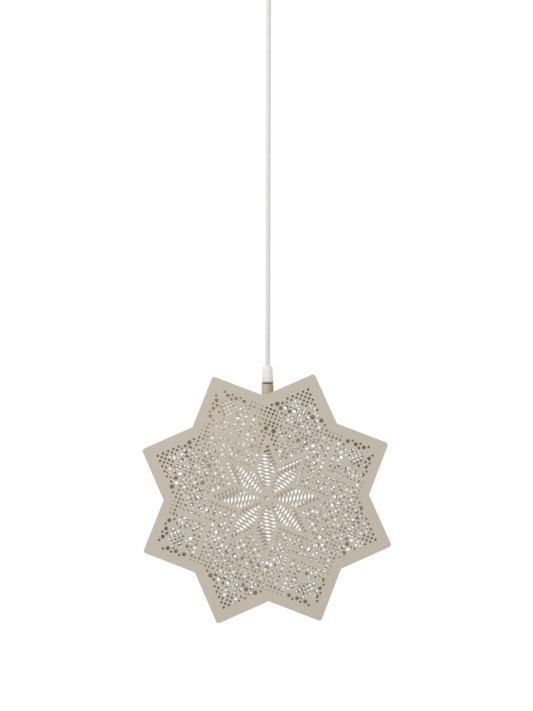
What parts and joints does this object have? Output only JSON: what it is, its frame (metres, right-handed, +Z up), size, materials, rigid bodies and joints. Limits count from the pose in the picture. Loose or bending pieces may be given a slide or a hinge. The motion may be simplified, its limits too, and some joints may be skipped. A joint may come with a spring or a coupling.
{
  "type": "star pendant lamp",
  "caption": "Flat eight-pointed star pendant in pierced sheet metal with a removable back, hung from a textile cord and a round ceiling cup.",
  "frame": {"origin": "middle of the ceiling bracket's two fixing holes, on the ceiling plane", "axes": "+Z up out of the ceiling face; the star faces -Y; +X to the right of someone facing the star"},
  "size_m": [0.3704, 0.1001, 1.0715],
  "materials": {
    "greige_powder_coat": "matte greige powder coat on sheet steel",
    "white_enamel": "satin white enamel on spun steel",
    "white_cord": "braided off-white textile cord",
    "white_nylon": "moulded white nylon",
    "white_rubber": "moulded white elastomer",
    "white_porcelain": "unglazed white porcelain",
    "zinc_steel": "zinc plated steel",
    "brass_fitting": "plain turned and pressed brass",
    "nickel_knob": "nickel plated and knurled",
    "brown_sleeving": "brown sleeved conductor",
    "blue_sleeving": "blue sleeved conductor",
    "green_sleeving": "green and yellow sleeved conductor, plain green here"
  },
  "bodies": {
    "ceiling_fixture": {"ceiling_bracket": "zinc_steel", "bracket_earth_screw": "brass_fitting"},
    "canopy_screw_left": {"canopy_screw_left": "nickel_knob"},
    "canopy_screw_right": {"canopy_screw_right": "nickel_knob"},
    "canopy": {"canopy_cup": "white_enamel", "cord_grip": "white_nylon", "grip_nut": "zinc_steel", "terminal_block": "white_nylon", "terminal_sleeves": "brass_fitting", "terminal_screws": "zinc_steel", "live_wire": "brown_sleeving", "earth_wire": "green_sleeving", "neutral_wire": "blue_sleeving", "cord_tail": "white_cord"},
    "grip_screw": {"grip_screw": "nickel_knob"},
    "cord": {"cord": "white_cord"},
    "strain_relief": {"strain_relief": "white_rubber", "relief_ring": "white_nylon"},
    "star": {"neck_tube": "greige_powder_coat", "neck_nipple": "zinc_steel", "saddle_washer": "zinc_steel", "nipple_nut": "zinc_steel", "cord_foot": "white_cord", "holder_cap": "greige_powder_coat", "holder_skirt": "greige_powder_coat", "holder_core": "white_porcelain", "holder_terminal_screws": "zinc_steel", "holder_live_wire": "brown_sleeving", "holder_neutral_wire": "blue_sleeving", "lamp_screw_shell": "brass_fitting", "centre_contact": "brass_fitting", "side_contact": "brass_fitting", "star_earth_wire": "green_sleeving", "earth_lug": "brass_fitting", "earth_lug_screw": "zinc_steel", "front_plate": "greige_powder_coat", "rim_left": "greige_powder_coat", "rim_right": "greige_powder_coat", "bottom_splice": "greige_powder_coat", "splice_rivets": "greige_powder_coat", "cover_lugs": "greige_powder_coat"},
    "back_cover": {"back_plate": "greige_powder_coat"},
    "cover_screw_1": {"cover_screw_1": "nickel_knob"},
    "cover_screw_2": {"cover_screw_2": "nickel_knob"},
    "cover_screw_3": {"cover_screw_3": "nickel_knob"},
    "cover_screw_4": {"cover_screw_4": "nickel_knob"}
  },
  "joints": [
    {"name": "canopy_lower", "type": "slide", "parent": "ceiling_fixture", "child": "canopy", "axis": [0, 0, -1], "range_m": [0, 0.06]},
    {"name": "canopy_screw_left_turn", "type": "hinge", "parent": "ceiling_fixture", "child": "canopy_screw_left", "pos_m": [-0.045, 0, -0.009], "axis": [-1, 0, 0], "continuous": true},
    {"name": "canopy_screw_right_turn", "type": "hinge", "parent": "ceiling_fixture", "child": "canopy_screw_right", "pos_m": [0.045, 0, -0.009], "axis": [1, 0, 0], "continuous": true},
    {"name": "grip_screw_turn", "type": "hinge", "parent": "canopy", "child": "grip_screw", "pos_m": [0, 0.006, -0.0495], "axis": [0, 1, 0], "continuous": true},
    {"name": "swing_sideways", "type": "hinge", "parent": "canopy", "child": "cord", "pos_m": [0, 0, -0.0644], "axis": [0, 1, 0], "range_deg": [-35, 35]},
    {"name": "swing_to_and_fro", "type": "hinge", "parent": "cord", "child": "strain_relief", "pos_m": [0, 0, -0.6805], "axis": [1, 0, 0], "range_deg": [-25, 25]},
    {"name": "star_twist", "type": "hinge", "parent": "strain_relief", "child": "star", "pos_m": [0, 0, -0.7083], "axis": [0, 0, 1], "range_deg": [-180, 180]},
    {"name": "cover_off", "type": "slide", "parent": "star", "child": "back_cover", "axis": [0, 1, 0], "range_m": [0, 0.08]},
    {"name": "cover_screw_1_turn", "type": "hinge", "parent": "back_cover", "child": "cover_screw_1", "pos_m": [0.06627, 0.045, -0.71408], "axis": [0, 1, 0], "continuous": true},
    {"name": "cover_screw_2_turn", "type": "hinge", "parent": "back_cover", "child": "cover_screw_2", "pos_m": [-0.17219, 0.045, -0.82], "axis": [0, 1, 0], "continuous": true},
    {"name": "cover_screw_3_turn", "type": "hinge", "parent": "back_cover", "child": "cover_screw_3", "pos_m": [-0.06627, 0.045, -1.05846], "axis": [0, 1, 0], "continuous": true},
    {"name": "cover_screw_4_turn", "type": "hinge", "parent": "back_cover", "child": "cover_screw_4", "pos_m": [0.17219, 0.045, -0.95254], "axis": [0, 1, 0], "continuous": true}
  ]
}
